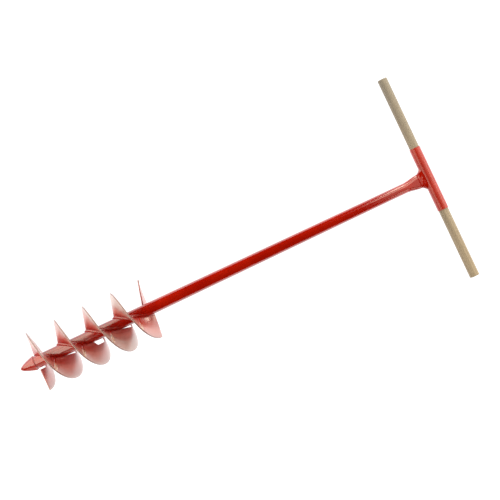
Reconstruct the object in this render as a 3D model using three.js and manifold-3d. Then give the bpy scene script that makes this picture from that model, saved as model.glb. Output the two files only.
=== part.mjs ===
// Hand auger with a pointed pilot, a screw flight of welded washers, a tubular shaft
// and a wooden cross handle pushed through a steel sleeve. Millimetres, +Z up.
//
// The tool is drawn in its shaft's frame: s runs along +X from the point (s = 0) to the handle,
// the handle lies along Y, and the turn angle psi runs from +Y to +Z about the shaft.
// It is then laid on the ground as it rests when put down: on the rim of its last turn and on
// the underside of the handle sleeve, with the origin on the ground under the middle of its box.

import * as THREE from 'three';
import { mergeVertices } from 'three/addons/utils/BufferGeometryUtils.js';
import Module from 'manifold-3d';

const wasm = await Module();
wasm.setup();

const { lerp, clamp } = THREE.MathUtils;
const TAU = 2 * Math.PI;

// ---- driving dimensions -------------------------------------------------------------------

const GAP = 0.3;                   // air left between pieces that touch on the real tool
const HANDLE_S = 1090;             // point to handle centre line

const POINT_LENGTH = 38.5;
const POINT_HALF_WIDTH = 19;
const POINT_HALF_DEPTH = 13;
const POINT_TIP_RADIUS = 0.7;
const POINT_TWIST = -0.2;          // radians, how far its ridge is turned off the vertical
const POINT_CORNERS = 1.35;        // superellipse exponent: 1 is a rhombus, 2 an ellipse
const POINT_SWELL = 0.62;          // exponent of its outline: 1 is a straight cone
const POINT_CROWDING = 1.6;        // its sections stand closer together towards the tip
const POINT_WELD_REACH = 2.2;
const POINT_WELD_HEIGHT = 1.4;

const TUBE_LOW_RADIUS = 15.9;      // along the flight
const TUBE_HIGH_RADIUS = 12.5;     // under the neck
const TUBE_WALL = 3;
const TAPER_START_S = 350;
const NECK_START_S = 1026;
const NECK_END_S = 1066;
const NECK_HALF_WIDTH = 17.6;      // the neck is pressed flat: wide along the handle, thin across
const NECK_HALF_DEPTH = 9.6;
const NECK_SQUARENESS = 0.8;       // added to the ellipse's exponent at the end of the neck
const NECK_WELD_START_S = 1064;
const NECK_WELD_HALF_WIDTH = 27;   // where it runs out onto the sleeve
const NECK_WELD_HALF_DEPTH = 11;
const CUT_MARGIN = 1;              // how far a tool of a cut stands past the piece it cuts

const FLIGHT_RADIUS = 75;
const ROOT_RADIUS = TUBE_LOW_RADIUS + GAP;
const FLIGHT_PLATE = 3;
const PITCH = 75;
const FLIGHT_S = 64.5;             // where the rim passes psi = 0, before the lean
const RIM_LEAN = 16.2;             // a washer sits askew on the tube by this much at its rim
const RIM_LEAN_TURN = 0.24;        // radians
const RIM_TWIST = 4;               // and is sprung out of flat by this much, twice in a turn
const ROOT_START = -0.25;          // turns, where the root begins to part from the rim
const ROOT_DROP = 4;               // the root stands nearer the point than the rim by this,
const ROOT_LEAN = 12;              // give or take this, as the washer is pulled to the tube
const ROOT_LEAN_TURN = 0.44;       // radians
// On the far side of the tube each washer's hole is too big by `by`. The gap opens, is open and
// is shut again at these turn angles in radians.
const ROOT_GAPES = [
  { by: 4, opens: 2.6, open: 3, shut: 6 },
  { by: 4.5, opens: 2.9, open: 3.9, shut: 5.3 },
  { by: 9.5, opens: 2.8, open: 3.05, shut: 5.3 },
  { by: 6, opens: 2.8, open: 3.9, shut: 5.3 },
  { by: 0.8, opens: 2.8, open: 3.4, shut: 5.3 },
];
const ROOT_GAPE_SHUTTING = 0.6;    // radians over which it shuts
const ROOT_GAPE_FLAT = 0.78;       // cosine down to which the hole's edge runs straight
const END_DIP = 12;                // the last half turn is left flat and dips by this much
const END_RISE = 6;

const LEADING_EDGE = -0.5;         // in turns, psi / TAU
const SECTION_JOINT = 1 / 3;       // the washers are butted here once in every turn
const LAST_BEND = 3.5;             // where the flat last half turn begins
const TRAILING_EDGE = 4;

const SLEEVE_RADIUS = 13.5;
const SLEEVE_BORE_RADIUS = 12.3;
const SLEEVE_LENGTH = 163;
const SLEEVE_OFFSET = -3.8;        // along Y: welded a little off centre
const DOWEL_RADIUS = SLEEVE_BORE_RADIUS - GAP;
const DOWEL_LENGTH = 526;
const DOWEL_OFFSET = -1.3;
const DOWEL_EDGE = 1.5;

const ROOT_BEAD_RADIUS = 2.2;      // weld along the root, where the washer meets the tube
const ROOT_BEAD_START = -0.09;     // turns
const FIRST_BEAD_START = 0.14;     // turns; the first one starts clear of the point
const ROOT_BEAD_END = 0.28;        // turns
const SECTION_BEAD_WIDTH = 3;      // half width and half height of the weld over a butt joint
const SECTION_BEAD_HEIGHT = 0.9;
const SECTION_BEAD_ROOT = 24;      // radii between which it runs
const SECTION_BEAD_RIM = 73;
const BEAD_END_SIZE = 0.35;        // share of its size that a bead still has at its very ends
const BEAD_RUN_IN = 0.2;           // share of its length over which a bead comes to full size

const STEPS_PER_TURN = 60;
const BEAD_STEPS_PER_TURN = 40;
const BEAD_SIDES = 8;
const SECTION_BEAD_SPANS = 10;
const PLATE_SPANS = 3;             // across the plate, root to rim
const POINT_SPANS = 9;
const NECK_SPANS = 8;
const NECK_WELD_SPANS = 6;
const ROUND_SIDES = 36;

// ---- materials ----------------------------------------------------------------------------

const paint = (color) => new THREE.MeshStandardMaterial({ color, roughness: 0.35, metalness: 0 });
const SHAFT_RED = 0xb01808;
const FLIGHT_RED = 0xc03830;
const SLEEVE_RED = 0xc02c1c;
const BEAD_RED = 0xa81408;
const rawWood = new THREE.MeshStandardMaterial({ color: 0xb3a283, roughness: 0.8, metalness: 0 });

// ---- solids and booleans ------------------------------------------------------------------

function toSolid(geometry) {
  const bare = geometry.clone();
  bare.deleteAttribute('normal');
  bare.deleteAttribute('uv');
  const merged = mergeVertices(bare, 1e-4);
  return new wasm.Manifold(new wasm.Mesh({
    numProp: 3,
    vertProperties: new Float32Array(merged.attributes.position.array),
    triVerts: new Uint32Array(merged.index.array),
  }));
}

function toGeometry(solid) {
  const mesh = solid.getMesh();
  const geometry = new THREE.BufferGeometry();
  geometry.setAttribute('position', new THREE.BufferAttribute(new Float32Array(mesh.vertProperties), 3));
  geometry.setIndex(new THREE.BufferAttribute(new Uint32Array(mesh.triVerts), 1));
  geometry.computeVertexNormals();
  return geometry;
}

// A closed skin through rings of points, all with the same count and turning the same way.
// The first and last ring are closed with flat fans.
function skin(rings) {
  const count = rings[0].length;
  const last = (rings.length - 1) * count;
  const index = [];
  for (let i = 0; i < last; i += count) {
    for (let j = 0; j < count; j += 1) {
      const k = (j + 1) % count;
      index.push(i + j, i + k, i + count + k);
      index.push(i + j, i + count + k, i + count + j);
    }
  }
  for (let j = 1; j < count - 1; j += 1) {
    index.push(0, j + 1, j);
    index.push(last, last + j, last + j + 1);
  }
  const geometry = new THREE.BufferGeometry();
  const positions = rings.flat().flatMap((p) => [p.x, p.y, p.z]);
  geometry.setAttribute('position', new THREE.Float32BufferAttribute(positions, 3));
  geometry.setIndex(index);
  geometry.computeVertexNormals();
  return geometry;
}

// ---- sections across the shaft ------------------------------------------------------------

// A superellipse across the shaft at s: exponent 1 is a rhombus, 2 an ellipse.
function crossSection(s, halfWidth, halfDepth, exponent = 2, twist = 0) {
  const ring = [];
  for (let j = 0; j < ROUND_SIDES; j += 1) {
    const a = (j / ROUND_SIDES) * TAU;
    const y = halfWidth * Math.sign(Math.cos(a)) * Math.abs(Math.cos(a)) ** (2 / exponent);
    const z = halfDepth * Math.sign(Math.sin(a)) * Math.abs(Math.sin(a)) ** (2 / exponent);
    ring.push(new THREE.Vector3(s, y, z).applyAxisAngle(new THREE.Vector3(1, 0, 0), twist));
  }
  return ring;
}

const ease = (x) => THREE.MathUtils.smoothstep(x, 0, 1);

// ---- shaft --------------------------------------------------------------------------------

function tubeRadius(s) {
  const taper = clamp((s - TAPER_START_S) / (NECK_START_S - TAPER_START_S), 0, 1);
  return lerp(TUBE_LOW_RADIUS, TUBE_HIGH_RADIUS, taper);
}

// The tube's section with its pressed neck, grown by `grow` (negative for the bore).
function tubeSection(s, grow) {
  const flat = ease((s - NECK_START_S) / (NECK_END_S - NECK_START_S));
  const halfWidth = lerp(tubeRadius(s), NECK_HALF_WIDTH, flat) + grow;
  const halfDepth = lerp(tubeRadius(s), NECK_HALF_DEPTH, flat) + grow;
  return crossSection(s, halfWidth, halfDepth, 2 + NECK_SQUARENESS * flat);
}

function tubeSkin(grow, fromS, toS) {
  const stations = [fromS, TAPER_START_S, NECK_START_S];
  for (let i = 1; i <= NECK_SPANS; i += 1) {
    stations.push(lerp(NECK_START_S, NECK_END_S, i / NECK_SPANS));
  }
  stations.push(toS);
  return skin(stations.map((s) => tubeSection(s, grow)));
}

// What the sleeve takes away from a piece that is fitted against it.
function sleeveClearance() {
  const radius = SLEEVE_RADIUS + GAP;
  const bar = new THREE.CylinderGeometry(radius, radius, SLEEVE_LENGTH, ROUND_SIDES);
  bar.translate(HANDLE_S, 0, 0);
  const beyond = new THREE.BoxGeometry(SLEEVE_LENGTH, SLEEVE_LENGTH, SLEEVE_LENGTH);
  beyond.translate(HANDLE_S + SLEEVE_LENGTH / 2, 0, 0);
  return toSolid(bar).add(toSolid(beyond));
}

function shaftTube() {
  const outer = toSolid(tubeSkin(0, POINT_LENGTH + GAP, HANDLE_S));
  const bore = toSolid(tubeSkin(-TUBE_WALL, POINT_LENGTH - CUT_MARGIN, HANDLE_S + CUT_MARGIN));
  return toGeometry(outer.subtract(bore).subtract(sleeveClearance()));
}

// The fillet weld around the end of the neck, flaring onto the sleeve.
function neckWeld() {
  const rings = [];
  for (let i = 0; i <= NECK_WELD_SPANS; i += 1) {
    const t = i / NECK_WELD_SPANS;
    const s = lerp(NECK_WELD_START_S, HANDLE_S, t);
    const flare = t ** 2;
    const halfWidth = lerp(NECK_HALF_WIDTH + 2 * GAP, NECK_WELD_HALF_WIDTH, flare);
    const halfDepth = lerp(NECK_HALF_DEPTH + 2 * GAP, NECK_WELD_HALF_DEPTH, Math.sqrt(t));
    rings.push(crossSection(s, halfWidth, halfDepth, 2 + NECK_SQUARENESS));
  }
  const inside = toSolid(tubeSkin(GAP, NECK_START_S - CUT_MARGIN, HANDLE_S + CUT_MARGIN));
  return toGeometry(toSolid(skin(rings)).subtract(inside).subtract(sleeveClearance()));
}

// ---- pilot point --------------------------------------------------------------------------

function pilotPoint() {
  const rings = [];
  for (let i = 0; i <= POINT_SPANS; i += 1) {
    const t = (i / POINT_SPANS) ** POINT_CROWDING;
    const bulge = t ** POINT_SWELL;
    const halfWidth = lerp(POINT_TIP_RADIUS, POINT_HALF_WIDTH, bulge);
    const halfDepth = lerp(POINT_TIP_RADIUS, POINT_HALF_DEPTH, bulge);
    rings.push(crossSection(t * POINT_LENGTH, halfWidth, halfDepth, POINT_CORNERS, POINT_TWIST));
  }
  return skin(rings);
}

// The weld ring in the corner between the point's back and the tube.
function pilotWeld() {
  const inner = TUBE_LOW_RADIUS + GAP;
  const start = POINT_LENGTH + GAP;
  const corners = [[0, 0], [1, 0], [0.7, 0.6], [0, 1], [0, 0]];
  const profile = corners.map(([height, reach]) => new THREE.Vector2(
    inner + POINT_WELD_HEIGHT * height,
    start + POINT_WELD_REACH * reach,
  ));
  return new THREE.LatheGeometry(profile, ROUND_SIDES).rotateZ(-TAU / 4);
}

// ---- screw flight -------------------------------------------------------------------------

// Where the rim of the plate's middle surface stands along the shaft.
function rimS(psi) {
  const bend = LAST_BEND * TAU;
  const held = Math.min(psi, bend);
  const past = Math.max(psi - bend, 0);
  const helix = FLIGHT_S + (PITCH * held) / TAU;
  const lean = RIM_LEAN * Math.cos(held - RIM_LEAN_TURN);
  const twist = RIM_TWIST * Math.sin(2 * held);
  return helix - lean + twist + END_RISE * (past / Math.PI) - END_DIP * Math.sin(past);
}

// How far the root stands from the rim along the shaft; nothing yet at the leading edge.
function rootShift(psi) {
  return -ease(psi / TAU - ROOT_START) * (ROOT_DROP + ROOT_LEAN * Math.cos(psi - ROOT_LEAN_TURN));
}

function rootRadius(psi) {
  const joints = Math.floor(psi / TAU - SECTION_JOINT);
  const { by, opens, open, shut } = ROOT_GAPES[clamp(joints + 1, 0, ROOT_GAPES.length - 1)];
  const angle = psi - joints * TAU;
  const opening = ease((angle - opens) / (open - opens));
  const shutting = ease((shut - angle) / ROOT_GAPE_SHUTTING);
  const edge = (ROOT_RADIUS + by) / Math.max(Math.abs(Math.cos(angle)), ROOT_GAPE_FLAT);
  return lerp(ROOT_RADIUS, edge, opening * shutting);
}

function platePointAt(psi, r) {
  const rho = (r - ROOT_RADIUS) / (FLIGHT_RADIUS - ROOT_RADIUS);
  const s = rimS(psi) + rootShift(psi) * (1 - rho);
  return new THREE.Vector3(s, r * Math.cos(psi), r * Math.sin(psi));
}

const outward = (psi) => new THREE.Vector3(0, Math.cos(psi), Math.sin(psi));

// Unit normal of the middle surface on the side that faces the handle, square to the radius.
function plateNormal(psi, r) {
  const small = 1e-3;
  const along = platePointAt(psi + small, r).sub(platePointAt(psi - small, r));
  return outward(psi).cross(along).normalize();
}

// One washer between two turn angles: a ring across the plate at every step of the turn.
function flightSection(from, to) {
  const steps = Math.round(((to - from) / TAU) * STEPS_PER_TURN);
  const rings = [];
  for (let i = 0; i <= steps; i += 1) {
    const lower = [];
    const upper = [];
    for (let j = 0; j <= PLATE_SPANS; j += 1) {
      const r = lerp(rootRadius(lerp(from, to, i / steps)), FLIGHT_RADIUS, j / PLATE_SPANS);
      const psi = lerp(from + GAP / r, to - GAP / r, i / steps);
      const middle = platePointAt(psi, r);
      const half = plateNormal(psi, r).multiplyScalar(FLIGHT_PLATE / 2);
      lower.unshift(middle.clone().sub(half));
      upper.push(middle.clone().add(half));
    }
    rings.push([...upper, ...lower]);
  }
  return skin(rings);
}

// ---- weld beads ---------------------------------------------------------------------------

// A bead through stations of { centre, across, up }, with half sizes `width` and `height`.
// It thins towards both ends.
function bead(stations, width, height) {
  return skin(stations.map(({ centre, across, up }, i) => {
    const t = i / (stations.length - 1);
    const fullness = Math.min(1, t / BEAD_RUN_IN, (1 - t) / BEAD_RUN_IN);
    const thin = lerp(BEAD_END_SIZE, 1, fullness);
    const ring = [];
    for (let j = 0; j < BEAD_SIDES; j += 1) {
      const a = (j / BEAD_SIDES) * TAU;
      ring.push(centre.clone()
        .addScaledVector(across, thin * width * Math.cos(a))
        .addScaledVector(up, height * (thin * (1 + Math.sin(a)) - 1)));
    }
    return ring;
  }));
}

// Along the root, on the face towards the handle (side 1) or towards the point (side -1).
function rootBead(from, to, side) {
  const steps = Math.round(((to - from) / TAU) * BEAD_STEPS_PER_TURN);
  const r = TUBE_LOW_RADIUS + 2 * GAP + ROOT_BEAD_RADIUS;
  const reach = FLIGHT_PLATE / 2 + 2 * GAP + ROOT_BEAD_RADIUS;
  const stations = [];
  for (let i = 0; i <= steps; i += 1) {
    const psi = lerp(from, to, i / steps);
    const up = plateNormal(psi, r).multiplyScalar(side);
    const centre = platePointAt(psi, r).addScaledVector(up, reach);
    stations.push({ centre, across: outward(psi).multiplyScalar(-side), up });
  }
  return bead(stations, ROOT_BEAD_RADIUS, ROOT_BEAD_RADIUS);
}

// Over the butt joint between two washers, on the face towards the handle.
function sectionBead(psi) {
  const lift = FLIGHT_PLATE / 2 + GAP + SECTION_BEAD_HEIGHT;
  const stations = [];
  for (let i = 0; i <= SECTION_BEAD_SPANS; i += 1) {
    const r = lerp(SECTION_BEAD_ROOT, SECTION_BEAD_RIM, i / SECTION_BEAD_SPANS);
    const up = plateNormal(psi, r);
    const centre = platePointAt(psi, r).addScaledVector(up, lift);
    stations.push({ centre, across: up.clone().cross(outward(psi)), up });
  }
  return bead(stations, SECTION_BEAD_WIDTH, SECTION_BEAD_HEIGHT);
}

// ---- handle -------------------------------------------------------------------------------

function handleSleeve() {
  const half = SLEEVE_LENGTH / 2;
  const profile = [
    new THREE.Vector2(SLEEVE_BORE_RADIUS, -half),
    new THREE.Vector2(SLEEVE_RADIUS, -half),
    new THREE.Vector2(SLEEVE_RADIUS, half),
    new THREE.Vector2(SLEEVE_BORE_RADIUS, half),
    new THREE.Vector2(SLEEVE_BORE_RADIUS, -half),
  ];
  return new THREE.LatheGeometry(profile, ROUND_SIDES);
}

function woodenHandle() {
  const half = DOWEL_LENGTH / 2;
  const profile = [
    new THREE.Vector2(0, -half),
    new THREE.Vector2(DOWEL_RADIUS - DOWEL_EDGE, -half),
    new THREE.Vector2(DOWEL_RADIUS, -half + DOWEL_EDGE),
    new THREE.Vector2(DOWEL_RADIUS, half - DOWEL_EDGE),
    new THREE.Vector2(DOWEL_RADIUS - DOWEL_EDGE, half),
    new THREE.Vector2(0, half),
  ];
  return new THREE.LatheGeometry(profile, ROUND_SIDES);
}

// ---- assembly -----------------------------------------------------------------------------

const shaft = new THREE.Group();

function add(name, geometry, material, s = 0, y = 0) {
  const mesh = new THREE.Mesh(geometry, material);
  mesh.name = name;
  mesh.position.set(s, y, 0);
  shaft.add(mesh);
}

add('shaft_tube', shaftTube(), paint(SHAFT_RED));
add('neck_weld', neckWeld(), paint(BEAD_RED));
add('pilot_point', pilotPoint(), paint(SHAFT_RED));
add('pilot_weld', pilotWeld(), paint(BEAD_RED));

let edge = LEADING_EDGE;
let turn = 0;
while (edge < TRAILING_EDGE) {
  const next = Math.min(SECTION_JOINT + turn, TRAILING_EDGE);
  add(`flight_section_${turn + 1}`, flightSection(edge * TAU, next * TAU), paint(FLIGHT_RED));
  if (next < TRAILING_EDGE) {
    const start = turn === 0 ? FIRST_BEAD_START : turn + ROOT_BEAD_START;
    const end = turn + ROOT_BEAD_END;
    add(`section_weld_${turn + 1}`, sectionBead(next * TAU), paint(BEAD_RED));
    add(`root_weld_upper_${turn + 1}`, rootBead(start * TAU, end * TAU, 1), paint(BEAD_RED));
    add(`root_weld_lower_${turn + 1}`, rootBead(start * TAU, end * TAU, -1), paint(BEAD_RED));
  }
  edge = next;
  turn += 1;
}

add('handle_sleeve', handleSleeve(), paint(SLEEVE_RED), HANDLE_S, SLEEVE_OFFSET);
add('wooden_handle', woodenHandle(), rawWood, HANDLE_S, DOWEL_OFFSET);

// The ground touches the lowest point of the last turn's rim and the underside of the sleeve.
const touchS = rimS((LAST_BEND + 0.25) * TAU) + FLIGHT_PLATE / 2;
const span = HANDLE_S - touchS;
const slope = Math.atan(FLIGHT_RADIUS / span);
const restTilt = slope - Math.asin(SLEEVE_RADIUS / Math.hypot(span, FLIGHT_RADIUS));
shaft.rotation.y = restTilt;

const box = new THREE.Box3().setFromObject(shaft, true);
const middle = box.getCenter(new THREE.Vector3());
shaft.position.set(-middle.x, -middle.y, -box.min.z);

const group = new THREE.Group();
group.add(shaft);

export default group;
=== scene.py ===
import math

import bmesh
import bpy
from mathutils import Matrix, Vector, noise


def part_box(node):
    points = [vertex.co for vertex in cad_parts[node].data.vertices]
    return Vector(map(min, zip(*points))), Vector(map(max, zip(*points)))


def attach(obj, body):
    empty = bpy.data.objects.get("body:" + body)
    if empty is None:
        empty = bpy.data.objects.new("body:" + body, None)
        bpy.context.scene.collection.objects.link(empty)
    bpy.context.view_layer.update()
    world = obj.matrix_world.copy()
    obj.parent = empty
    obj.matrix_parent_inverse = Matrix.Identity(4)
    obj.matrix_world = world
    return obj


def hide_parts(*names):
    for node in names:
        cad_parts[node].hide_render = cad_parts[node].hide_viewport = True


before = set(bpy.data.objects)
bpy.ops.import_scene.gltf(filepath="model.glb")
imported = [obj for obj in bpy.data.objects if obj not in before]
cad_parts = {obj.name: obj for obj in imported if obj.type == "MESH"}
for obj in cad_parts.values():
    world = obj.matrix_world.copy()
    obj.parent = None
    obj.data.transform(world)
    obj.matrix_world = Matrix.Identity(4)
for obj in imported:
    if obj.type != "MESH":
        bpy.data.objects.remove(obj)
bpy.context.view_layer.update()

# Looks of the hand auger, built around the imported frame. Metres, +Z up.
#
# Every piece is drawn in the shaft's frame, as in the CAD source: s runs along +X from the
# point (s = 0) to the handle, the handle lies along Y, and the turn angle psi runs from +Y
# to +Z about the shaft. Then each mesh is laid where the frame has it, and its material turns
# object coordinates back to (s, y, z), to follow the shaft, the turn or the grain.

TAU = 2 * math.pi
MM = 0.001

# ---- driving dimensions, as in the CAD source ----------------------------------------------

GAP = 0.3 * MM               # between pieces that touch on the real tool
HANDLE_S = 1090 * MM

POINT_LENGTH = 38.5 * MM
POINT_HALF_WIDTH = 19 * MM
POINT_HALF_DEPTH = 13 * MM
POINT_TIP_RADIUS = 0.7 * MM
POINT_TWIST = -0.2
POINT_CORNERS = 1.35
POINT_SWELL = 0.62
POINT_CROWDING = 1.6

TUBE_LOW_RADIUS = 15.9 * MM
TUBE_HIGH_RADIUS = 12.5 * MM
TUBE_WALL = 3 * MM
TAPER_START_S = 350 * MM
NECK_START_S = 1026 * MM
NECK_END_S = 1066 * MM
NECK_HALF_WIDTH = 17.6 * MM
NECK_HALF_DEPTH = 9.6 * MM
NECK_SQUARENESS = 0.8
NECK_WELD_START_S = 1064 * MM
NECK_WELD_HALF_WIDTH = 27 * MM
NECK_WELD_HALF_DEPTH = 11 * MM

FLIGHT_RADIUS = 75 * MM
FLIGHT_PLATE = 3 * MM
PITCH = 75 * MM
FLIGHT_S = 64.5 * MM
RIM_LEAN = 16.2 * MM
RIM_LEAN_TURN = 0.24         # a turn angle, as ROOT_LEAN_TURN is
RIM_TWIST = 4 * MM
ROOT_START = -0.25           # in turns
ROOT_DROP = 4 * MM
ROOT_LEAN = 12 * MM
ROOT_LEAN_TURN = 0.44
ROOT_RADIUS = TUBE_LOW_RADIUS + GAP
ROOT_GAPES = (               # by how much, and the turn angles where it opens, is open and is shut
    (4 * MM, 2.6, 3.0, 6.0),
    (4.5 * MM, 2.9, 3.9, 5.3),
    (9.5 * MM, 2.8, 3.05, 5.3),
    (6 * MM, 2.8, 3.9, 5.3),
    (0.8 * MM, 2.8, 3.4, 5.3),
)
ROOT_GAPE_SHUTTING = 0.6
ROOT_GAPE_FLAT = 0.78
END_DIP = 12 * MM
END_RISE = 6 * MM

LEADING_EDGE = -0.5          # in turns, like the six below
SECTION_JOINT = 1 / 3
LAST_BEND = 3.5
TRAILING_EDGE = 4
ROOT_BEAD_START = -0.09
FIRST_BEAD_START = 0.14
ROOT_BEAD_END = 0.28

SLEEVE_RADIUS = 13.5 * MM
SLEEVE_BORE_RADIUS = 12.3 * MM
SLEEVE_LENGTH = 163 * MM
SLEEVE_OFFSET = -3.8 * MM
DOWEL_RADIUS = 12 * MM
DOWEL_LENGTH = 526 * MM
DOWEL_OFFSET = -1.3 * MM
DOWEL_EDGE = 1.5 * MM


def lerp(a, b, t):
    return a + (b - a) * t


def clamp(x, low=0.0, high=1.0):
    return min(max(x, low), high)


def ease(x):
    x = clamp(x)
    return x * x * (3 - 2 * x)


# ---- the screw's surface -------------------------------------------------------------------

def rim_s(psi):
    """Where the rim of the plate's middle surface stands along the shaft."""
    bend = LAST_BEND * TAU
    held = min(psi, bend)
    past = max(psi - bend, 0)
    helix = FLIGHT_S + PITCH * held / TAU
    lean = RIM_LEAN * math.cos(held - RIM_LEAN_TURN)
    twist = RIM_TWIST * math.sin(2 * held)
    return helix - lean + twist + END_RISE * past / math.pi - END_DIP * math.sin(past)


def root_shift(psi):
    """How far the plate's inner edge is moved along the shaft, against its rim."""
    return -ease(psi / TAU - ROOT_START) * (ROOT_DROP + ROOT_LEAN * math.cos(psi - ROOT_LEAN_TURN))


def root_radius(psi):
    """Where the inner edge is: on the tube, or off it where the washer gapes."""
    joints = math.floor(psi / TAU - SECTION_JOINT)
    gape, opens, is_open, shut = ROOT_GAPES[clamp(joints + 1, 0, len(ROOT_GAPES) - 1)]
    angle = psi - joints * TAU
    opening = ease((angle - opens) / (is_open - opens))
    shutting = ease((shut - angle) / ROOT_GAPE_SHUTTING)
    edge = (ROOT_RADIUS + gape) / max(abs(math.cos(angle)), ROOT_GAPE_FLAT)
    return lerp(ROOT_RADIUS, edge, opening * shutting)


def plate_point(psi, r):
    """A point of the plate's middle surface."""
    rho = (r - ROOT_RADIUS) / (FLIGHT_RADIUS - ROOT_RADIUS)
    s = rim_s(psi) + root_shift(psi) * (1 - rho)
    return Vector((s, r * math.cos(psi), r * math.sin(psi)))


def outward(psi):
    return Vector((0, math.cos(psi), math.sin(psi)))


def plate_normal(psi, r):
    """Unit normal on the face towards the handle, square to the radius."""
    small = 1e-3
    along = plate_point(psi + small, r) - plate_point(psi - small, r)
    return outward(psi).cross(along).normalized()


# ---- the shaft's frame ---------------------------------------------------------------------

# The tool lies on the rim of its last turn and on the underside of the sleeve.
touch_s = rim_s((LAST_BEND + 0.25) * TAU) + FLIGHT_PLATE / 2
span = HANDLE_S - touch_s
tilt = math.atan(FLIGHT_RADIUS / span) - math.asin(SLEEVE_RADIUS / math.hypot(span, FLIGHT_RADIUS))
TILTED = Matrix.Rotation(tilt, 4, "Y")

sleeve_low, sleeve_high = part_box("handle_sleeve")
sleeve_middle = (sleeve_low + sleeve_high) / 2
tip = sleeve_middle - TILTED @ Vector((HANDLE_S, SLEEVE_OFFSET, 0))
SHAFT = Matrix.Translation(tip) @ TILTED

# ---- camera, light and floor ---------------------------------------------------------------

VIEW_S = 625 * MM            # what the middle of the picture shows, in the shaft's frame
VIEW_Y = 24.9 * MM
VIEW_DISTANCE = 2.4
VIEW_FAR = 20
VIEW_ROLL = math.radians(-25.29)
VIEW_WIDTH = 1.21            # what the picture is wide, at the shaft

WORLD_STRENGTH = 0.0         # the soft boxes and the floor give all the light
LIGHT_COLOUR = (1.0, 0.93, 0.76)
DOWN, AWAY, NEAR, LEFTWARD, RIGHTWARD = (0, 0, -1), (0, -1, 0), (0, 1, 0), (-1, 0, 0), (1, 0, 0)
# The left boxes light the flight and the right ones the handle. No box is above the middle of the
# shaft, which reflects the dark there and stays deep red.
SOFT_BOXES = (
    # name, one corner, the other corner, where it shines, brightness
    ("soft_box_left", (-2.3, -0.9, 1.6), (-0.56, 1.4, 1.6), DOWN, 2.5),
    ("soft_box_left_far", (-2.0, 1.4, 0.1), (-0.46, 1.4, 1.5), AWAY, 2.3),
    ("soft_box_left_near", (-2.0, -1.4, 0.1), (-0.62, -1.4, 1.5), NEAR, 0.7),
    ("soft_box_right", (0.76, 0.5, 1.6), (1.9, 1.5, 1.6), DOWN, 2.1),
    ("soft_box_right_above", (0.78, -1.2, 1.6), (1.9, 0.5, 1.6), DOWN, 0.55),
    ("soft_box_right_far", (0.66, 1.15, 0.05), (1.7, 1.15, 0.8), AWAY, 6.0),
    ("soft_box_right_near", (0.70, -1.15, 0.05), (1.7, -1.15, 0.9), NEAR, 2.2),
    ("soft_box_right_end", (2.0, -1.4, 0.1), (2.0, 0.3, 1.4), LEFTWARD, 2.9),
    ("soft_box_left_end", (-2.3, -1.2, 0.1), (-2.3, 1.2, 1.5), RIGHTWARD, 0.6),
)

FLOOR_SIZE = 120.0           # so wide that its edge is never seen, even from low down
FLOOR_DROP = 0.4 * MM        # clear of the part's lowest points
FLOOR_GREY = 0.02
FLOOR_GLOW = 1.2


def make_camera():
    data = bpy.data.cameras.new("camera")
    data.lens = data.sensor_width * VIEW_DISTANCE / VIEW_WIDTH
    data.clip_end = VIEW_FAR
    camera = bpy.data.objects.new("camera", data)
    place = Matrix.Translation(Vector((VIEW_S, VIEW_Y, VIEW_DISTANCE)))
    camera.matrix_world = SHAFT @ place @ Matrix.Rotation(VIEW_ROLL, 4, "Z")
    bpy.context.scene.collection.objects.link(camera)
    bpy.context.scene.camera = camera


def soft_box(name, low, high, facing, brightness):
    """A flat panel of light that fills the flat box from `low` to `high` and shines along `facing`."""
    low, high, facing = Vector(low), Vector(high), Vector(facing)
    turn = facing.to_track_quat("-Z", "Y")
    size = turn.inverted() @ (high - low)
    data = bpy.data.lights.new(name, "AREA")
    data.shape = "RECTANGLE"
    data.size = abs(size.x)
    data.size_y = abs(size.y)
    data.energy = brightness * math.pi * data.size * data.size_y
    data.color = LIGHT_COLOUR
    light = bpy.data.objects.new(name, data)
    light.rotation_mode = "QUATERNION"
    light.rotation_quaternion = turn
    light.location = (low + high) / 2
    bpy.context.scene.collection.objects.link(light)


def make_studio():
    scene = bpy.context.scene
    scene.view_settings.view_transform = "Standard"
    world = bpy.data.worlds.new("studio")
    world.use_nodes = True
    background = world.node_tree.nodes["Background"]
    background.inputs["Color"].default_value = (1, 1, 1, 1)
    background.inputs["Strength"].default_value = WORLD_STRENGTH
    scene.world = world
    for name, low, high, facing, brightness in SOFT_BOXES:
        soft_box(name, low, high, facing, brightness)


def make_floor():
    """A white floor that glows, so that it stays white and takes no visible shadow."""
    half = FLOOR_SIZE / 2
    corners = [(-half, -half, 0), (half, -half, 0), (half, half, 0), (-half, half, 0)]
    mesh = bpy.data.meshes.new("floor")
    mesh.from_pydata(corners, [], [(0, 1, 2, 3)])
    floor = bpy.data.objects.new("floor", mesh)
    floor.location.z = -FLOOR_DROP
    bpy.context.scene.collection.objects.link(floor)
    look = Shader("floor_white")
    look.set(base=(FLOOR_GREY, FLOOR_GREY, FLOOR_GREY), roughness=0.9)
    look.bsdf.inputs["Emission Color"].default_value = (1, 1, 1, 1)
    look.bsdf.inputs["Emission Strength"].default_value = FLOOR_GLOW
    mesh.materials.append(look.material)


# ---- materials -----------------------------------------------------------------------------

DEEP_RED, RED, PALE_RED = (0.43, 0.0060, 0.0005), (0.49, 0.0088, 0.0008), (0.55, 0.0130, 0.0020)
SHAFT_REDS = (DEEP_RED, RED, PALE_RED)
SLEEVE_REDS = ((0.48, 0.013, 0.002), (0.54, 0.018, 0.004), (0.60, 0.026, 0.008))
WORN_RED = (0.26, 0.055, 0.040)

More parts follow.
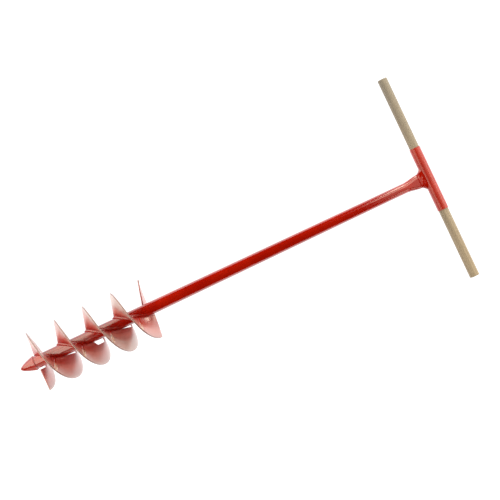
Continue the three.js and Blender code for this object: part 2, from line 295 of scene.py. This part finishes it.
# Painted reflection on the plates: red at the tube, paling to pinkish white at the rim, in place of the
# bright surroundings that the gloss reflects. Stops: the share of the way from the tube to the rim, and
# the colour there.
PLATE_PAINTED_REFLECTION = (
    (0.15, RED),
    (0.30, (0.56, 0.075, 0.050)),
    (0.48, (0.73, 0.24, 0.195)),
    (0.78, (0.60, 0.29, 0.26)),
    (0.99, (0.69, 0.54, 0.50)),
)
# Painted highlight on the butt welds: red near the tube, cream towards the rim, where the beads catch the
# light. Stops as above.
BUTT_PAINTED_HIGHLIGHT = (
    (0.25, RED),
    (0.45, (0.70, 0.20, 0.14)),
    (0.65, (0.90, 0.68, 0.54)),
)
# Where along the shaft the painted reflection and painted highlight are strongest: s in metres, and the
# share of the strongest there.
PAINTED_REFLECTION_ALONG_SHAFT = ((0.20, 0.53), (0.24, 1.0), (0.29, 1.0), (0.315, 0.42))
PAINTED_REFLECTION_MOST = 1.7
RIM_WEAR_START = FLIGHT_RADIUS - 1.1 * MM
RIM_WEAR_FULL = FLIGHT_RADIUS - 0.2 * MM
RIM_WEAR_RAGGED = 0.9 * MM

PITH_ASIDE = 21 * MM         # from the dowel's middle to the tree's, along the shaft and down
PITH_BELOW = 16 * MM
PITH_SWAY = 9 * MM
RINGS_PER_METRE = 410.0
EARLY_WOOD = ((0.32, (0.47, 0.385, 0.285)), (0.55, (0.58, 0.47, 0.345)), (0.78, (0.66, 0.545, 0.405)))
LATE_WOOD = (0.36, 0.255, 0.165)
STREAK_WOOD = (0.31, 0.245, 0.17)
FIBRE_WOOD = (0.30, 0.24, 0.18)
PORE_WOOD = (0.17, 0.125, 0.09)
GREY_WOOD = (0.35, 0.325, 0.295)
GREYING_HALF_LENGTH = 270 * MM    # the wood greys along Y, from this far before the middle to as far past


class Shader:
    """A node material with a Principled BSDF, and short calls to add nodes to it."""

    def __init__(self, name):
        self.material = bpy.data.materials.new(name)
        self.material.use_nodes = True
        self.tree = self.material.node_tree
        self.bsdf = self.tree.nodes["Principled BSDF"]

    def set(self, base=None, **sockets):
        """Sets inputs by name: coat_ior is Coat IOR."""
        if base is not None:
            self.bsdf.inputs["Base Color"].default_value = (*base, 1)
        for name, value in sockets.items():
            self.bsdf.inputs[name.replace("_", " ").title().replace("Ior", "IOR")].default_value = value

    def feed(self, socket, value):
        """Links an output into an input, or sets the input to a constant."""
        if isinstance(value, bpy.types.NodeSocket):
            self.tree.links.new(value, socket)
        else:
            socket.default_value = value

    def add(self, kind, *inputs, **properties):
        node = self.tree.nodes.new("ShaderNode" + kind)
        for name, value in properties.items():
            setattr(node, name, value)
        for socket, value in zip(node.inputs, inputs):
            self.feed(socket, value)
        return node

    def shaft_coordinates(self):
        """Where a point is in the shaft's frame: s, y, z."""
        turn = self.add("Mapping", self.add("TexCoord").outputs["Object"], vector_type="TEXTURE")
        turn.inputs["Location"].default_value = tip
        turn.inputs["Rotation"].default_value = (0, tilt, 0)
        return turn.outputs["Vector"]

    def math(self, operation, a, b=0.0):
        return self.add("Math", a, b, operation=operation).outputs[0]

    def vector(self, x, y, z):
        return self.add("CombineXYZ", x, y, z).outputs[0]

    def apart(self, vector):
        """The three parts of a vector."""
        return self.add("SeparateXYZ", vector).outputs

    def scaled(self, vector, factors):
        return self.add("VectorMath", vector, factors, operation="MULTIPLY").outputs[0]

    def length(self, vector):
        return self.add("VectorMath", vector, operation="LENGTH").outputs["Value"]

    def noise(self, vector, scale, detail, roughness):
        node = self.add("TexNoise")
        self.feed(node.inputs["Vector"], vector)
        node.inputs["Scale"].default_value = scale
        node.inputs["Detail"].default_value = detail
        node.inputs["Roughness"].default_value = roughness
        return node.outputs["Fac"]

    def grain(self, where, per_metre, detail, roughness):
        """Noise with its own number of lumps to a metre along each of s, y and z."""
        return self.noise(self.scaled(where, per_metre), 1.0, detail, roughness)

    def ramp(self, value, stops):
        """A colour or grey ramp through (position, colour) stops."""
        node = self.add("ValToRGB", value)
        elements = node.color_ramp.elements
        while len(elements) < len(stops):
            elements.new(1.0)
        for element, (position, colour) in zip(elements, stops):
            element.position = position
            grey = isinstance(colour, (int, float))
            element.color = (colour, colour, colour, 1) if grey else (*colour, 1)
        return node.outputs["Color"]

    def mix(self, factor, a, b):
        node = self.add("MixRGB")
        for socket, value in zip(node.inputs, (factor, a, b)):
            if isinstance(value, tuple):
                value = (*value, 1)
            self.feed(socket, value)
        return node.outputs["Color"]

    def between(self, value, low, high, out_low=0.0, out_high=1.0):
        """Maps low..high onto out_low..out_high, and holds the ends."""
        node = self.add("MapRange")
        for name, v in (("Value", value), ("From Min", low), ("From Max", high),
                        ("To Min", out_low), ("To Max", out_high)):
            self.feed(node.inputs[name], v)
        return node.outputs["Result"]

    def bump(self, height, distance, strength, under=None):
        node = self.add("Bump")
        self.feed(node.inputs["Height"], height)
        node.inputs["Distance"].default_value = distance
        node.inputs["Strength"].default_value = strength
        if under is not None:
            self.feed(node.inputs["Normal"], under)
        return node.outputs["Normal"]

    def finish(self, colour, roughness, normal):
        for name, value in (("Base Color", colour), ("Roughness", roughness), ("Normal", normal)):
            self.feed(self.bsdf.inputs[name], value)
        return self.material


def enamel(name, reds, roughness, painted_reflection=None, coat=1.8):
    """Sprayed gloss enamel on steel: orange peel, dents, mottling and scuffs.

    With a ramp of painted reflection, its colour pales away from the shaft in streaks, a painted
    reflection of the bright surroundings, and it is worn at the rim.
    """
    look = Shader(name)
    where = look.shaft_coordinates()
    look.set(ior=1.5, coat_weight=1.0, coat_roughness=roughness, coat_ior=coat)

    deep, red, pale = reds
    clouds = look.noise(where, scale=22.0, detail=4.0, roughness=0.55)
    colour = look.ramp(clouds, ((0.30, deep), (0.52, red), (0.74, pale)))
    specks = look.noise(where, scale=1400.0, detail=2.0, roughness=0.6)
    colour = look.mix(look.between(specks, 0.66, 0.80, 0.0, 0.12), colour, deep)
    scuff_grain = look.grain(where, (60, 420, 420), detail=3.0, roughness=0.7)
    scuffs = look.between(scuff_grain, 0.62, 0.78)

    if painted_reflection:
        # Painted reflection (a painted highlight on the butt welds): the colour pales with the share of
        # the way out from the shaft, scaled along the shaft and jittered in streaks.
        s = look.apart(where)[0]
        radius = look.length(look.scaled(where, (0, 1, 1)))
        runs = look.vector(look.math("MULTIPLY", radius, 330.0), look.math("MULTIPLY", s, 26.0), 0.0)
        reflection_streaks = look.noise(runs, scale=1.0, detail=4.0, roughness=0.6)
        reflection_along_shaft = look.math("MULTIPLY", look.ramp(s, PAINTED_REFLECTION_ALONG_SHAFT), PAINTED_REFLECTION_MOST)
        out = look.math("MULTIPLY", look.between(radius, TUBE_LOW_RADIUS, FLIGHT_RADIUS), reflection_along_shaft)
        out = look.math("ADD", out, look.between(reflection_streaks, 0.3, 0.7, -0.06, 0.06))
        colour = look.mix(0.9, colour, look.ramp(out, painted_reflection))
        ragged = look.noise(where, scale=160.0, detail=4.0, roughness=0.6)
        edge = look.between(ragged, 0.2, 0.8, -RIM_WEAR_RAGGED, RIM_WEAR_RAGGED)
        edge = look.math("ADD", radius, edge)
        worn = look.between(edge, RIM_WEAR_START, RIM_WEAR_FULL, 0.0, 0.85)
        colour = look.mix(worn, colour, WORN_RED)
        scuffs = look.math("MAXIMUM", scuffs, worn)

    blotches = look.noise(where, scale=75.0, detail=3.0, roughness=0.5)
    gloss = look.between(blotches, 0.3, 0.7, roughness - 0.02, roughness + 0.03)
    gloss = look.math("ADD", gloss, look.math("MULTIPLY", scuffs, 0.06))

    dents = look.noise(where, scale=95.0, detail=2.0, roughness=0.5)
    peel = look.noise(where, scale=620.0, detail=2.0, roughness=0.45)
    normal = look.bump(dents, distance=0.45 * MM, strength=0.2)
    normal = look.bump(peel, distance=0.07 * MM, strength=0.08, under=normal)
    normal = look.bump(scuffs, distance=0.02 * MM, strength=0.3, under=normal)
    return look.finish(colour, gloss, normal)


def bare_wood(name):
    """Bare, straight-grained softwood: growth rings round a pith beside the dowel, and greyer and darker
    towards +Y.
    """
    look = Shader(name)
    where = look.shaft_coordinates()
    look.set(specular_ior_level=0.25, ior=1.45)

    s, y, z = look.apart(where)
    across = look.math("SUBTRACT", s, HANDLE_S + PITH_ASIDE)
    above = look.math("SUBTRACT", z, -PITH_BELOW)
    sway = look.grain(where, (9, 3.2, 9), detail=2.0, roughness=0.5)
    from_pith = look.length(look.vector(across, 0.0, above))
    from_pith = look.math("ADD", from_pith, look.math("MULTIPLY", sway, PITH_SWAY))
    rings = look.math("FRACT", look.math("MULTIPLY", from_pith, RINGS_PER_METRE))
    late = look.math("POWER", rings, 2.6)

    fibres = look.grain(where, (1300, 14, 1300), detail=3.0, roughness=0.65)
    pores = look.grain(where, (2600, 60, 2600), detail=2.0, roughness=0.6)
    streaks = look.grain(where, (240, 3.5, 240), detail=3.0, roughness=0.55)
    stain = look.grain(where, (30, 5, 30), detail=3.0, roughness=0.6)

    colour = look.mix(look.math("MULTIPLY", late, 0.35), look.ramp(stain, EARLY_WOOD), LATE_WOOD)
    colour = look.mix(look.between(streaks, 0.42, 0.66, 0.0, 0.45), colour, STREAK_WOOD)
    colour = look.mix(look.between(fibres, 0.35, 0.75, 0.0, 0.18), colour, FIBRE_WOOD)
    colour = look.mix(look.between(pores, 0.66, 0.8, 0.0, 0.2), colour, PORE_WOOD)

    # Greyer and darker towards +Y, unevenly.
    grey = look.between(y, -GREYING_HALF_LENGTH, GREYING_HALF_LENGTH, 0.0, 0.72)
    grey = look.math("MULTIPLY", grey, look.between(stain, 0.2, 0.7, 1.15, 0.7))
    colour = look.mix(grey, colour, GREY_WOOD)

    rough = look.between(fibres, 0.3, 0.7, 0.62, 0.80)
    normal = look.bump(fibres, distance=0.16 * MM, strength=0.15)
    normal = look.bump(late, distance=0.10 * MM, strength=0.15, under=normal)
    normal = look.bump(pores, distance=0.12 * MM, strength=0.1, under=normal)
    return look.finish(colour, rough, normal)


# ---- meshes from rings ---------------------------------------------------------------------

def ring_mesh(name, rings, loop=False):
    """A skin through rings of points. `loop` joins the last to the first; otherwise both are capped."""
    count = len(rings[0])
    points = [tuple(p) for ring in rings for p in ring]
    faces = []
    spans = len(rings) if loop else len(rings) - 1
    for i in range(spans):
        a = i * count
        b = ((i + 1) % len(rings)) * count
        for j in range(count):
            k = (j + 1) % count
            faces.append((a + j, a + k, b + k, b + j))
    if not loop:
        faces.append(tuple(reversed(range(count))))
        faces.append(tuple(range(len(points) - count, len(points))))
    mesh = bpy.data.meshes.new(name)
    mesh.from_pydata(points, [], faces)
    mesh.validate()
    return mesh


def joined_mesh(name, parts):
    """One mesh of several closed ones, which are used up."""
    points = []
    faces = []
    for part in parts:
        base = len(points)
        points += [v.co.to_tuple() for v in part.vertices]
        faces += [tuple(base + i for i in p.vertices) for p in part.polygons]
        bpy.data.meshes.remove(part)
    mesh = bpy.data.meshes.new(name)
    mesh.from_pydata(points, [], faces)
    mesh.validate()
    return mesh


def face_outwards(mesh):
    work = bmesh.new()
    work.from_mesh(mesh)
    bmesh.ops.recalc_face_normals(work, faces=work.faces)
    work.to_mesh(mesh)
    work.free()


def piece(name, mesh, material, slot, body, *nodes, sharp):
    """Puts a mesh drawn in the shaft's frame into the scene, in place of the CAD nodes it stands for.

    Edges that bend by more than `sharp` degrees are shaded as edges.
    """
    face_outwards(mesh)
    mesh.materials.append(material)
    mesh.shade_smooth()
    mesh.set_sharp_from_angle(angle=math.radians(sharp))
    mesh.transform(SHAFT)
    thing = bpy.data.objects.new(name, mesh)
    bpy.context.scene.collection.objects.link(thing)
    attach(thing, body)
    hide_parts(*nodes)


def cross_section(s, half_width, half_depth, exponent, twist=0.0, sides=96):
    """A superellipse across the shaft at s: exponent 1 is a rhombus, 2 an ellipse."""
    ring = []
    for j in range(sides):
        a = j / sides * TAU
        y = half_width * math.copysign(abs(math.cos(a)) ** (2 / exponent), math.cos(a))
        z = half_depth * math.copysign(abs(math.sin(a)) ** (2 / exponent), math.sin(a))
        ring.append(Vector((s, y * math.cos(twist) - z * math.sin(twist),
                            y * math.sin(twist) + z * math.cos(twist))))
    return ring


# ---- shaft ---------------------------------------------------------------------------------

TUBE_LOW_SPANS = 12
TUBE_TAPER_SPANS = 24
TUBE_NECK_SPANS = 20
TUBE_INTO_WELD = 3 * MM      # how far the neck's last full ring is under the weld

NECK_WELD_SIDES = 160
NECK_WELD_SPANS = 26
NECK_WELD_LIFT = 0.2 * MM    # of its thin edge off the neck
NECK_WELD_SINK = 0.32 * MM   # of its middle, so that no ripple stands past the CAD's weld
NECK_RIPPLES = 34            # all the way round
NECK_RIPPLE_HEIGHT = 0.28 * MM
NECK_RIPPLE_SWAY = 2.2
NECK_RIPPLE_TURNING = 3.1
NECK_LUMP_HEIGHT = 0.35 * MM
NECK_LUMPS_PER_METRE = 130
NECK_WELD_BACK = 0.8         # the hidden back of the flare, as a share of its front

POINT_SPANS = 40
POINT_SIDES = 96
POINT_DENT = 0.35 * MM
POINT_DENTS_PER_METRE = 110
POINT_BEVEL = 0.6 * MM
POINT_BACK = 0.965           # the back face inside its bevel, as a share of the full section


def tube_radius(s):
    taper = clamp((s - TAPER_START_S) / (NECK_START_S - TAPER_START_S))
    return lerp(TUBE_LOW_RADIUS, TUBE_HIGH_RADIUS, taper)


def tube_ring(s, grow=0.0):
    flat = ease((s - NECK_START_S) / (NECK_END_S - NECK_START_S))
    half_width = lerp(tube_radius(s), NECK_HALF_WIDTH, flat) + grow
    half_depth = lerp(tube_radius(s), NECK_HALF_DEPTH, flat) + grow
    return cross_section(s, half_width, half_depth, 2 + NECK_SQUARENESS * flat)


def coped(ring, clearance):
    """A ring at the handle end, cut back to where it meets the sleeve."""
    reach = SLEEVE_RADIUS + clearance
    return [Vector((HANDLE_S - math.sqrt(max(reach ** 2 - p.z ** 2, 0)), p.y, p.z)) for p in ring]


def shaft_tube(material):
    start = POINT_LENGTH + GAP
    neck_end = NECK_WELD_START_S + TUBE_INTO_WELD
    stations = [lerp(start, TAPER_START_S, i / TUBE_LOW_SPANS) for i in range(TUBE_LOW_SPANS)]
    stations += [lerp(TAPER_START_S, NECK_START_S, i / TUBE_TAPER_SPANS) for i in range(TUBE_TAPER_SPANS)]
    stations += [lerp(NECK_START_S, neck_end, i / TUBE_NECK_SPANS) for i in range(TUBE_NECK_SPANS + 1)]
    outer = [tube_ring(s) for s in stations]
    outer.append(coped(tube_ring(HANDLE_S), GAP))
    inner = [coped(tube_ring(HANDLE_S, -TUBE_WALL), GAP)]
    inner += [tube_ring(s, -TUBE_WALL) for s in reversed(stations)]
    mesh = ring_mesh("shaft_tube_skin", outer + inner, loop=True)
    piece("shaft", mesh, material, "red_paint", "root", "shaft_tube", sharp=50)


def neck_weld(material):
    """The fillet round the end of the neck, flaring onto the sleeve, laid in overlapping ripples."""
    rings = []
    for i in range(NECK_WELD_SPANS + 1):
        t = i / NECK_WELD_SPANS
        half_width = lerp(NECK_HALF_WIDTH + NECK_WELD_LIFT, NECK_WELD_HALF_WIDTH, t ** 2)
        half_depth = lerp(NECK_HALF_DEPTH + NECK_WELD_LIFT, NECK_WELD_HALF_DEPTH, math.sqrt(t))
        ring = cross_section(0, half_width, half_depth, 2 + NECK_SQUARENESS, sides=NECK_WELD_SIDES)
        full = math.sin(math.pi * t)
        sway = NECK_RIPPLE_SWAY * math.sin(NECK_RIPPLE_TURNING * t)
        laid = []
        for j, p in enumerate(ring):
            a = j / NECK_WELD_SIDES * TAU
            end = HANDLE_S - math.sqrt(max(SLEEVE_RADIUS ** 2 - p.z ** 2, 0))
            s = lerp(NECK_WELD_START_S, end, t)
            ripple = math.sin(NECK_RIPPLES * a + sway) * NECK_RIPPLE_HEIGHT * full
            lump = noise.noise(Vector((s, p.y, p.z)) * NECK_LUMPS_PER_METRE) * NECK_LUMP_HEIGHT * full
            shrink = 1 - (NECK_WELD_SINK - ripple - lump) * full / math.hypot(p.y, p.z)
            laid.append(Vector((s, p.y * shrink, p.z * shrink)))
        rings.append(laid)
    back = [Vector((p.x + 0.6 * MM, p.y * NECK_WELD_BACK, p.z * NECK_WELD_BACK)) for p in rings[-1]]
    inside = cross_section(NECK_WELD_START_S + 1 * MM, NECK_HALF_WIDTH - 0.8 * MM,
                           NECK_HALF_DEPTH - 0.8 * MM, 2 + NECK_SQUARENESS, sides=NECK_WELD_SIDES)
    mesh = ring_mesh("neck_weld_skin", rings + [back, inside], loop=True)
    piece("neck_fillet", mesh, material, "red_paint", "root", "neck_weld", sharp=60)


def pilot_point(material):
    """The forged point, with hammer marks on its four faces."""
    rings = []
    for i in range(POINT_SPANS + 1):
        t = (i / POINT_SPANS) ** POINT_CROWDING
        bulge = t ** POINT_SWELL
        half_width = lerp(POINT_TIP_RADIUS, POINT_HALF_WIDTH, bulge)
        half_depth = lerp(POINT_TIP_RADIUS, POINT_HALF_DEPTH, bulge)
        ring = cross_section(t * POINT_LENGTH, half_width, half_depth, POINT_CORNERS, POINT_TWIST,
                             POINT_SIDES)
        worked = []
        for p in ring:
            dent = POINT_DENT * t * (0.5 + 0.5 * noise.noise(p * POINT_DENTS_PER_METRE))
            size = math.hypot(p.y, p.z)
            worked.append(Vector((p.x, p.y * (1 - dent / size), p.z * (1 - dent / size))))
        rings.append(worked)
    edge = [Vector((POINT_LENGTH, p.y * POINT_BACK, p.z * POINT_BACK)) for p in rings[-1]]
    rings[-1] = [Vector((POINT_LENGTH - POINT_BEVEL, p.y, p.z)) for p in rings[-1]]
    rings.append(edge)
    mesh = ring_mesh("pilot_point_skin", rings)
    piece("pilot", mesh, material, "red_paint", "root", "pilot_point", sharp=60)


# ---- weld beads ----------------------------------------------------------------------------

RIPPLE = 1.7 * MM            # from one crescent of a bead to the next
BEAD_RIPPLE_SHARE = 0.055
BEAD_WANDER_SHARE = 0.12
BEAD_WANDERS_PER_METRE = 260
BEAD_CRESCENT = 0.30         # how far a ripple's middle lags, in ripples
BEAD_END_SIZE = 0.25         # of the full size, where the bead starts and stops

ROOT_BEAD_WIDTH = 3.1 * MM   # half of it, like the widths below
ROOT_BEAD_HEIGHT = 2.1 * MM
ROOT_BEAD_LIFT = 1.2 * MM    # of its middle line off the tube and the plate
ROOT_BEAD_STEP = 0.45 * MM
ROOT_BEAD_SLANT = 1.6        # how much longer a bead is than its share of the tube's round

BUTT_FRONT_WIDTH, BUTT_FRONT_HEIGHT = 5.2 * MM, 2.0 * MM
BUTT_BACK_WIDTH, BUTT_BACK_HEIGHT = 2.6 * MM, 0.8 * MM
BUTT_STEPS = 100
BUTT_SWELL_RADIUS = 36 * MM
BUTT_SWELL_RUN = 14 * MM

PILOT_BEAD_STEPS = 220
PILOT_BEAD_SIDES = 14
PILOT_BEAD_HEIGHT = 1.35 * MM    # half of it, like its width
PILOT_BEAD_WIDTH = 1.6 * MM
PILOT_BEAD_RIPPLE_SHARE = 0.05
PILOT_BEAD_LUMP_SHARE = 0.16


def bead_mesh(name, stations, width, height, seed, sides=20):
    """A laid bead through stations of (centre, across, up): a rounded ridge with crescent ripples."""
    rings = []
    laid = 0.0
    total = sum((stations[i + 1][0] - stations[i][0]).length for i in range(len(stations) - 1))
    before = stations[0][0]
    for centre, across, up in stations:
        laid += (centre - before).length
        before = centre
        fullness = clamp(min(laid, total - laid) / (1.5 * width))
        swell = BEAD_END_SIZE + (1 - BEAD_END_SIZE) * math.sqrt(fullness)
        wander = noise.noise(Vector((laid * BEAD_WANDERS_PER_METRE, seed * 7.7, 0)))
        wander = 1 + BEAD_WANDER_SHARE * wander
        ring = []
        for j in range(sides):
            a = j / sides * TAU
            x = math.cos(a)
            crest = math.sin(TAU * (laid / RIPPLE + BEAD_CRESCENT * (1 - x * x)))
            size = swell * wander * (1 + BEAD_RIPPLE_SHARE * crest)
            ring.append(centre + across * (width * size * x) + up * (height * size * math.sin(a)))
        rings.append(ring)
    return ring_mesh(name, rings)


def root_bead(name, start, end, side, seed):
    """In the corner of the tube and one face of the plate, from `start` to `end` in turns."""
    length = (end - start) * TAU * TUBE_LOW_RADIUS * ROOT_BEAD_SLANT
    steps = max(int(length / ROOT_BEAD_STEP), 12)
    r = TUBE_LOW_RADIUS + ROOT_BEAD_LIFT
    stations = []
    for i in range(steps + 1):
        psi = lerp(start, end, i / steps) * TAU
        up = plate_normal(psi, r) * side
        centre = plate_point(psi, r) + up * (FLIGHT_PLATE / 2 + ROOT_BEAD_LIFT)
        corner = (outward(psi) + up).normalized()
        tangent = up.cross(outward(psi)).normalized()
        stations.append((centre, corner.cross(tangent).normalized(), corner))
    return bead_mesh(name, stations, ROOT_BEAD_WIDTH, ROOT_BEAD_HEIGHT, seed)


def section_bead(name, psi, side, width, height, seed):
    """Over the butt joint between two washers, on one face; fullest near the rim."""
    stations = []
    for i in range(BUTT_STEPS + 1):
        r = lerp(root_radius(psi) + 1 * MM, FLIGHT_RADIUS - 1.2 * MM, i / BUTT_STEPS)
        up = plate_normal(psi, r) * side
        centre = plate_point(psi, r) + up * (FLIGHT_PLATE / 2 - 0.2 * MM)
        full = lerp(0.5, 1.0, ease((r - BUTT_SWELL_RADIUS) / BUTT_SWELL_RUN))
        stations.append((centre, up.cross(outward(psi)) * full, up * full))
    return bead_mesh(name, stations, width, height, seed, sides=16)


def pilot_ring(material):
    """The weld between the point's back and the tube."""
    centre_radius = TUBE_LOW_RADIUS + 0.2 * MM
    rings = []
    for i in range(PILOT_BEAD_STEPS):
        a = i / PILOT_BEAD_STEPS * TAU
        lump = PILOT_BEAD_LUMP_SHARE * noise.noise(Vector((math.cos(a), math.sin(a), 0)) * 3)
        ring = []
        for j in range(PILOT_BEAD_SIDES):
            b = j / PILOT_BEAD_SIDES * TAU
            crest = math.sin(TAU * (a * centre_radius / RIPPLE) + 1.2 * math.cos(b))
            size = 1 + PILOT_BEAD_RIPPLE_SHARE * crest + lump
            r = centre_radius + PILOT_BEAD_HEIGHT * size * math.cos(b)
            s = POINT_LENGTH + 0.9 * MM + PILOT_BEAD_WIDTH * size * math.sin(b)
            ring.append(Vector((s, r * math.cos(a), r * math.sin(a))))
        rings.append(ring)
    mesh = ring_mesh("pilot_weld_skin", rings, loop=True)
    piece("pilot_bead", mesh, material, "red_paint", "root", "pilot_weld", sharp=70)


# ---- screw flight --------------------------------------------------------------------------

EDGE_ROUND = 0.45 * MM       # how far the plate's sheared edges are broken
END_THICKNESS = 0.72         # of a washer's very end, inside its broken edge
STEPS_PER_TURN = 150
PLATE_SPANS = 14
WAVE_HEIGHT = 0.55 * MM
WAVES_PER_METRE = 32


def plate_outline(root, rim):
    """(radius, side of the middle: -1 to 1) round the plate's section, with broken corners."""
    half = FLIGHT_PLATE / 2
    broken = 1 - EDGE_ROUND / half
    softer = 1 - 0.3 * EDGE_ROUND / half
    radii = [lerp(root + EDGE_ROUND, rim - EDGE_ROUND, j / PLATE_SPANS) for j in range(PLATE_SPANS + 1)]
    upper = [(r, 1.0) for r in radii]
    at_rim = [(rim - 0.3 * EDGE_ROUND, softer), (rim, broken), (rim, -broken),
              (rim - 0.3 * EDGE_ROUND, -softer)]
    lower = [(r, -1.0) for r in reversed(radii)]
    at_root = [(root + 0.3 * EDGE_ROUND, -softer), (root, -broken), (root, broken),
               (root + 0.3 * EDGE_ROUND, softer)]
    return upper + at_rim + lower + at_root


def flight_plate(name, start, end, material, node):
    """One washer of the screw, slightly uneven from being pulled out cold."""
    steps = round((end - start) * STEPS_PER_TURN)
    inset = EDGE_ROUND / (0.6 * FLIGHT_RADIUS)
    turns = [(start * TAU, END_THICKNESS), (start * TAU + inset, 1.0)]
    turns += [(lerp(start, end, i / steps) * TAU, 1.0) for i in range(1, steps)]
    turns += [(end * TAU - inset, 1.0), (end * TAU, END_THICKNESS)]
    rings = []
    for psi, thick in turns:
        ring = []
        for r, side in plate_outline(root_radius(psi), FLIGHT_RADIUS):
            middle = plate_point(psi, r)
            normal = plate_normal(psi, r)
            free = clamp((r - TUBE_LOW_RADIUS) / (20 * MM)) * clamp((FLIGHT_RADIUS - r) / (25 * MM), 0.25)
            wave = WAVE_HEIGHT * free * noise.noise(middle * WAVES_PER_METRE)
            ring.append(middle + normal * (side * thick * FLIGHT_PLATE / 2 + wave))
        rings.append(ring)
    mesh = ring_mesh(name + "_skin", rings)
    piece(name, mesh, material, "flight_paint", "root", node, sharp=35)


def root_beads(turn, material):
    """The two welds that hold one washer to the tube."""
    start = FIRST_BEAD_START if turn == 0 else turn + ROOT_BEAD_START
    end = turn + ROOT_BEAD_END
    number = turn + 1
    for word, side in (("upper", 1), ("lower", -1)):
        bead = root_bead(f"root_{word}_{number}_skin", start, end, side, turn + side)
        piece(f"root_bead_{word}_{number}", bead, material, "red_paint", "root",
              f"root_weld_{word}_{number}", sharp=70)


def butt_bead(turn, joint, material):
    """The weld where one washer meets the next, seen on both faces of the plate."""
    psi = joint * TAU
    number = turn + 1
    faces = [section_bead("front", psi, 1, BUTT_FRONT_WIDTH, BUTT_FRONT_HEIGHT, turn),
             section_bead("back", psi, -1, BUTT_BACK_WIDTH, BUTT_BACK_HEIGHT, turn + 0.5)]
    mesh = joined_mesh(f"butt_bead_{number}_skin", faces)
    piece(f"butt_bead_{number}", mesh, material, "flight_paint", "root", f"section_weld_{number}",
          sharp=70)


def flight(plate_paint_with_reflection, bead_paint, butt_paint_with_highlight):
    start = LEADING_EDGE
    turn = 0
    while start < TRAILING_EDGE:
        end = min(SECTION_JOINT + turn, TRAILING_EDGE)
        flight_plate(f"washer_{turn + 1}", start, end, plate_paint_with_reflection, f"flight_section_{turn + 1}")
        if end < TRAILING_EDGE:
            root_beads(turn, bead_paint)
            butt_bead(turn, end, butt_paint_with_highlight)
        start = end
        turn += 1


# ---- handle --------------------------------------------------------------------------------

HANDLE_SIDES = 128
SLEEVE_LIP = 0.35 * MM       # how far the sleeve's ends are rounded
SLEEVE_INSIDE_CAD = 0.06 * MM    # how far its skin is under the CAD's
DOWEL_UNEVEN = 0.10 * MM     # how far its worn skin is under the CAD's, give or take as much


def turned(profile, y_middle, uneven=None):
    """Rings about the handle's axis, through (radius, y) pairs."""
    rings = []
    for radius, y in profile:
        ring = []
        for j in range(HANDLE_SIDES):
            a = j / HANDLE_SIDES * TAU
            r = radius + (uneven(a, y, radius) if uneven else 0)
            ring.append(Vector((HANDLE_S + r * math.sin(a), y_middle + y, r * math.cos(a))))
        rings.append(ring)
    return rings


def rounded_end(radius, half, edge, side, steps, bore=False):
    """(radius, y) pairs round the corner at one end, from the flat to the side."""
    inwards = -edge if bore else edge
    pairs = []
    for i in range(steps + 1):
        a = i / steps * TAU / 4
        pairs.append((radius - inwards + inwards * math.sin(a), side * (half - edge + edge * math.cos(a))))
    return pairs


def handle_sleeve(material):
    half = SLEEVE_LENGTH / 2
    outside = SLEEVE_RADIUS - SLEEVE_INSIDE_CAD
    inside = SLEEVE_BORE_RADIUS
    low, high = -half + SLEEVE_LIP, half - SLEEVE_LIP
    profile = rounded_end(outside, half, SLEEVE_LIP, -1, 4)
    profile += [(outside, lerp(low, high, i / 40)) for i in range(1, 40)]
    profile += reversed(rounded_end(outside, half, SLEEVE_LIP, 1, 4))
    profile += rounded_end(inside, half, SLEEVE_LIP, 1, 4, bore=True)
    profile += [(inside, lerp(high, low, i / 12)) for i in range(1, 12)]
    profile += reversed(rounded_end(inside, half, SLEEVE_LIP, -1, 4, bore=True))
    mesh = ring_mesh("handle_sleeve_skin", turned(profile, SLEEVE_OFFSET), loop=True)
    piece("sleeve", mesh, material, "sleeve_paint", "root", "handle_sleeve", sharp=50)


def wooden_handle(material):
    half = DOWEL_LENGTH / 2
    free = half - DOWEL_EDGE

    def uneven(a, y, radius):
        worn = noise.noise(Vector((math.cos(a) * 1.4, math.sin(a) * 1.4, y * 14)))
        return -(1 + worn) * DOWEL_UNEVEN * (radius / DOWEL_RADIUS)

    flat = [(radius, -half) for radius in (1 * MM, 4 * MM, 7.5 * MM)]
    profile = flat + rounded_end(DOWEL_RADIUS, half, DOWEL_EDGE, -1, 5)
    profile += [(DOWEL_RADIUS, lerp(-free, free, i / 90)) for i in range(1, 90)]
    profile += reversed(rounded_end(DOWEL_RADIUS, half, DOWEL_EDGE, 1, 5))
    profile += [(radius, -y) for radius, y in reversed(flat)]
    mesh = ring_mesh("wooden_handle_skin", turned(profile, DOWEL_OFFSET, uneven))
    piece("dowel", mesh, material, "raw_wood", "handle", "wooden_handle", sharp=50)


# ---- everything ----------------------------------------------------------------------------

make_camera()
make_studio()
make_floor()

shaft_paint = enamel("enamel_shaft", SHAFT_REDS, 0.12)
# The flight's colour carries a painted reflection, pale towards the rim.
flight_paint = enamel("enamel_flight_painted_reflection", SHAFT_REDS, 0.34, painted_reflection=PLATE_PAINTED_REFLECTION, coat=2.35)
# The butt welds' colour carries a painted highlight, cream towards the rim.
butt_paint_with_highlight = enamel("enamel_butt_painted_highlight", SHAFT_REDS, 0.14, painted_reflection=BUTT_PAINTED_HIGHLIGHT)
sleeve_paint = enamel("enamel_sleeve", SLEEVE_REDS, 0.36, coat=1.45)

shaft_tube(shaft_paint)
neck_weld(shaft_paint)
pilot_point(shaft_paint)
pilot_ring(shaft_paint)
flight(flight_paint, shaft_paint, butt_paint_with_highlight)
handle_sleeve(sleeve_paint)
wooden_handle(bare_wood("wood_bare"))
